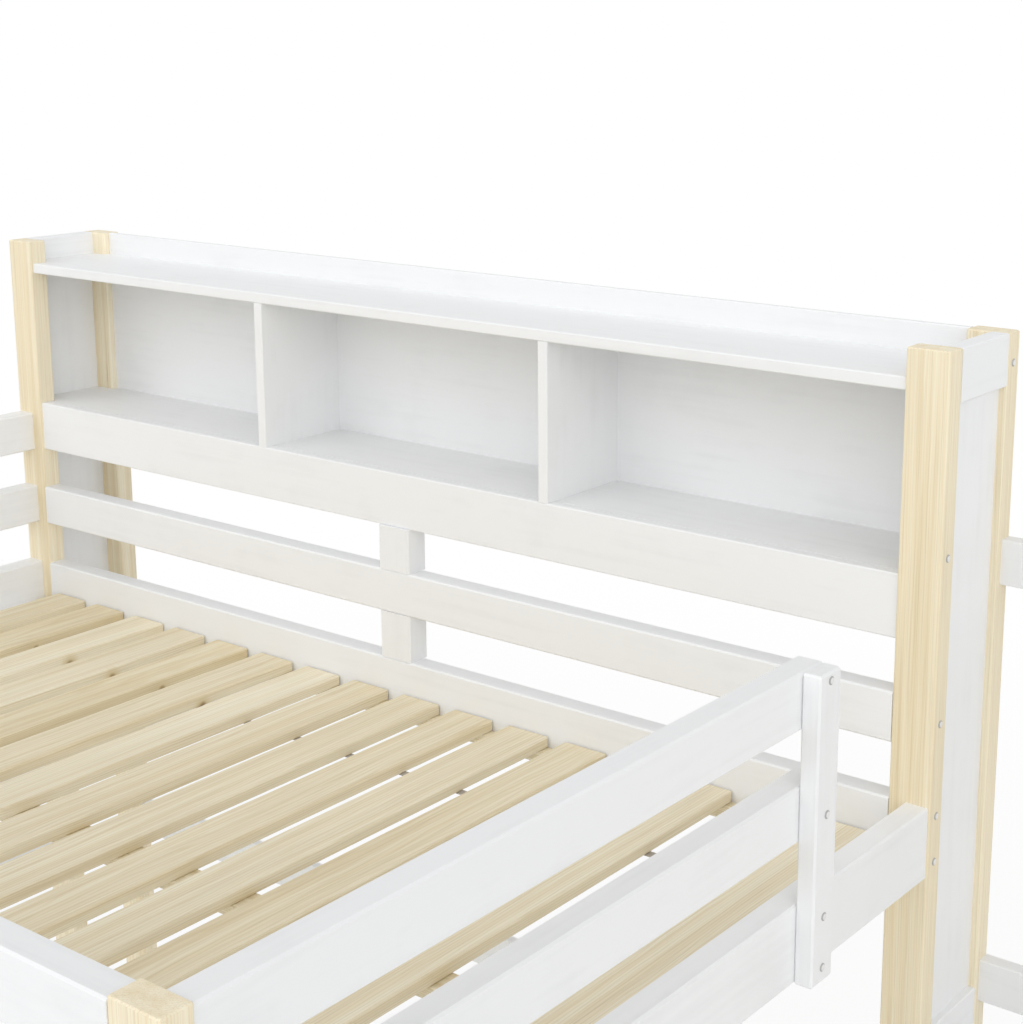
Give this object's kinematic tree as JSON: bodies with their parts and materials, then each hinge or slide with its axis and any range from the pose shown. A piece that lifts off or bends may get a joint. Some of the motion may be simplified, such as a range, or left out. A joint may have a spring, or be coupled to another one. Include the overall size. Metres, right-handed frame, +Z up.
{
  "type": "loft bed",
  "caption": "Wooden loft bed with slatted base, guard rails, open bookcase along one long side with cubbies and a top shelf, and stairs with a landing at one end.",
  "frame": {"origin": "on the floor, in the middle of the bed with its stairs, taken over length and depth", "axes": "+X along the length, from the closed end to the stairs; +Y across the bed, towards the bookcase; +Z up"},
  "size_m": [2.6224, 1.683, 2],
  "materials": {
    "white_paint": "opaque white satin paint",
    "natural_pine": "clear matt lacquer on pine",
    "zinc_steel": "zinc plated",
    "bolt_caps": "light grey satin",
    "webbing": "plain woven band"
  },
  "bodies": {
    "root": {"back_lower_rail": "white_paint", "batten_hanger_left": "zinc_steel", "batten_hanger_right": "zinc_steel", "bed_slats": "natural_pine", "bookcase_back_panel": "white_paint", "bookcase_back_post_left": "natural_pine", "bookcase_back_post_right": "natural_pine", "bookcase_front_post_left": "natural_pine", "bookcase_front_post_right": "natural_pine", "centre_batten": "natural_pine", "centre_stile_lower": "white_paint", "centre_stile_upper": "white_paint", "connector_bolts": "bolt_caps", "corner_post_left": "natural_pine", "corner_post_right": "natural_pine", "cubby_apron": "white_paint", "cubby_divider_1": "white_paint", "cubby_divider_2": "white_paint", "cubby_floor": "white_paint", "entry_short_post": "white_paint", "far_bed_rail": "white_paint", "far_mid_rail": "white_paint", "landing_beam_inner": "white_paint", "landing_beam_outer": "white_paint", "landing_boards": "white_paint", "landing_cross_beam_back": "white_paint", "landing_cross_beam_front": "white_paint", "left_bed_rail": "white_paint", "left_guard_rail": "white_paint", "left_lower_rail": "white_paint", "left_mid_rail": "white_paint", "near_bed_rail": "white_paint", "near_guard_rail": "white_paint", "near_mid_rail": "white_paint", "right_bed_rail": "white_paint", "right_guard_rail": "white_paint", "right_lower_rail": "white_paint", "right_mid_rail": "white_paint", "side_foot_board_left": "white_paint", "side_foot_board_right": "white_paint", "side_lower_board_left": "white_paint", "side_lower_board_right": "white_paint", "side_panel_left": "white_paint", "side_panel_right": "white_paint", "side_top_board_left": "white_paint", "side_top_board_right": "white_paint", "slat_ledger_far": "natural_pine", "slat_ledger_near": "natural_pine", "slat_straps": "webbing", "stair_back_rail_lower": "white_paint", "stair_back_rail_upper": "white_paint", "stair_post_back": "natural_pine", "stair_post_front": "natural_pine", "stair_side_rail_lower": "white_paint", "stair_side_rail_upper": "white_paint", "stair_stringer_inner": "white_paint", "stair_stringer_outer": "white_paint", "stair_treads": "white_paint", "top_shelf": "white_paint"}
  },
  "joints": []
}
